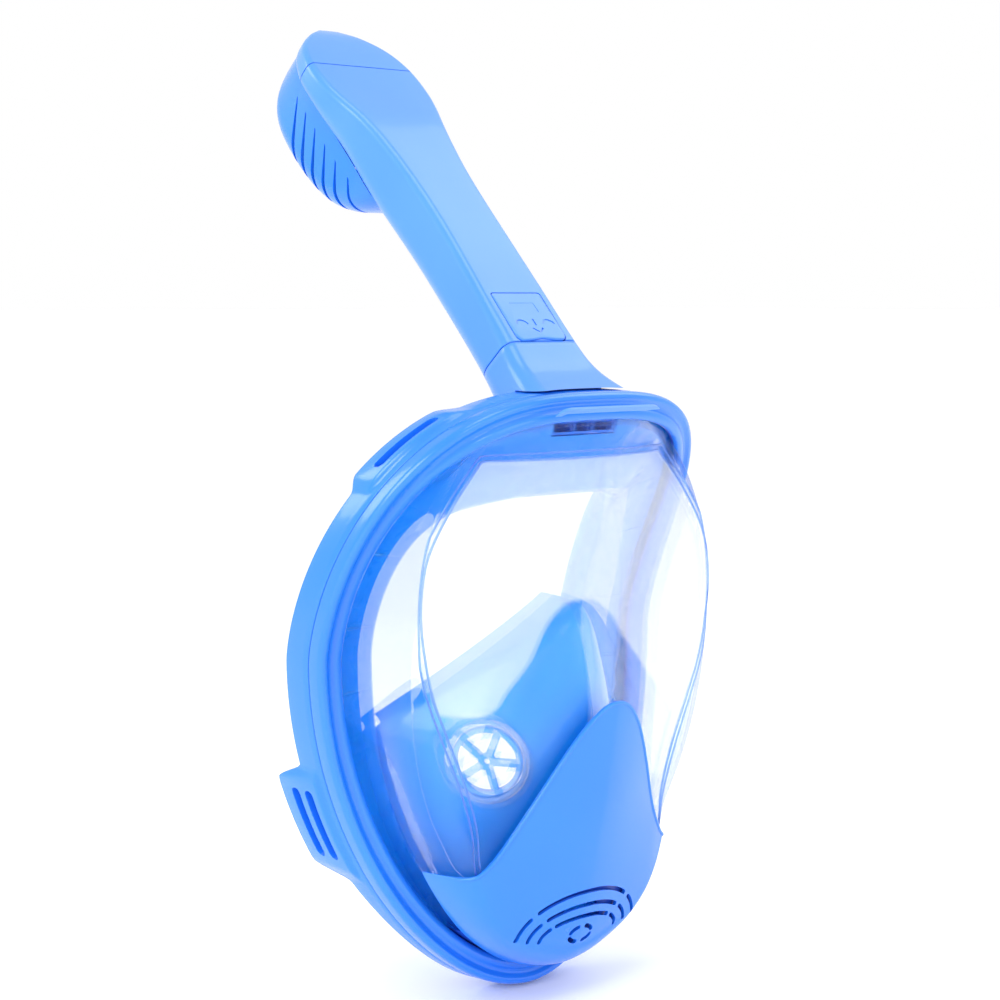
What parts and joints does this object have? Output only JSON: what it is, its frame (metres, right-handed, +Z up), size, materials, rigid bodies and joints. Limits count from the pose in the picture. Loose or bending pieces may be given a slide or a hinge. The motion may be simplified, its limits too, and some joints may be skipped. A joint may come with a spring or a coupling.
{
  "type": "full-face snorkel mask",
  "caption": "Full-face snorkel mask with a domed window, soft face seal, nose pocket with valves, chin drain, strap ears and a removable snorkel tube with a float valve.",
  "frame": {"origin": "centre of the face opening, in the plane of the seal's side lips", "axes": "+Z up the face towards the crown, +Y back towards the wearer's head, +X towards the right as seen from the front; the window faces -Y"},
  "size_m": [0.1864, 0.2037, 0.405],
  "materials": {
    "shell": "smooth satin-gloss moulded plastic",
    "tube": "smooth satin-gloss moulded plastic",
    "silicone": "soft smooth silicone, slightly translucent",
    "gasket": "matte rubber",
    "clear": "clear polished polycarbonate",
    "seat": "pale translucent plastic",
    "steel": "satin stainless steel",
    "foam": "closed-cell white foam"
  },
  "bodies": {
    "mask": {"front_bezel": "shell", "lens_gasket": "gasket", "lens": "clear", "face_skirt": "silicone", "rear_frame": "shell", "chin_cover": "shell", "nose_pocket": "silicone", "intake_seat_left": "seat", "intake_seat_right": "seat", "drain_duct": "seat", "port_duct": "seat", "bezel_screw_1": "steel", "bezel_screw_2": "steel", "bezel_screw_3": "steel", "bezel_screw_4": "steel", "bezel_screw_5": "steel", "bezel_screw_6": "steel", "snorkel_base": "tube"},
    "snorkel": {"snorkel_tube": "tube", "spigot_seal": "gasket", "centre_duct": "seat", "top_cap": "tube", "rear_grille": "shell", "float_cage": "seat"},
    "latch": {"latch_tab": "tube"},
    "float": {"float": "foam", "float_seal": "gasket"},
    "intake_flap_left": {"intake_flap_left": "silicone"},
    "intake_flap_right": {"intake_flap_right": "silicone"},
    "drain_flap": {"drain_flap": "silicone"},
    "port_flap_left": {"port_flap_left": "silicone"},
    "port_flap_right": {"port_flap_right": "silicone"}
  },
  "joints": [
    {"name": "snorkel_slide", "type": "slide", "parent": "mask", "child": "snorkel", "axis": [0, 0.6691, 0.7431], "range_m": [0, 0.03]},
    {"name": "latch_press", "type": "hinge", "parent": "snorkel", "child": "latch", "pos_m": [0, -0.03881, 0.16418], "axis": [1, 0, 0], "range_deg": [0, 4], "stiffness_Nm_per_rad": 0.5},
    {"name": "float_rise", "type": "slide", "parent": "snorkel", "child": "float", "axis": [0, 0.6691, 0.7431], "range_m": [0, 0.008]},
    {"name": "intake_lift_left", "type": "slide", "parent": "mask", "child": "intake_flap_left", "axis": [0.7795, 0.6231, 0.064], "range_m": [0, 0.002], "stiffness_N_per_m": 40},
    {"name": "intake_lift_right", "type": "slide", "parent": "mask", "child": "intake_flap_right", "axis": [-0.7795, 0.6231, 0.064], "range_m": [0, 0.002], "stiffness_N_per_m": 40},
    {"name": "drain_lift", "type": "slide", "parent": "mask", "child": "drain_flap", "axis": [0, -0.867, -0.4983], "range_m": [0, 0.002], "stiffness_N_per_m": 40},
    {"name": "port_lift_left", "type": "slide", "parent": "mask", "child": "port_flap_left", "axis": [0, 0, 1], "range_m": [0, 0.0015], "stiffness_N_per_m": 40},
    {"name": "port_lift_right", "type": "slide", "parent": "mask", "child": "port_flap_right", "axis": [0, 0, 1], "range_m": [0, 0.0015], "stiffness_N_per_m": 40}
  ]
}
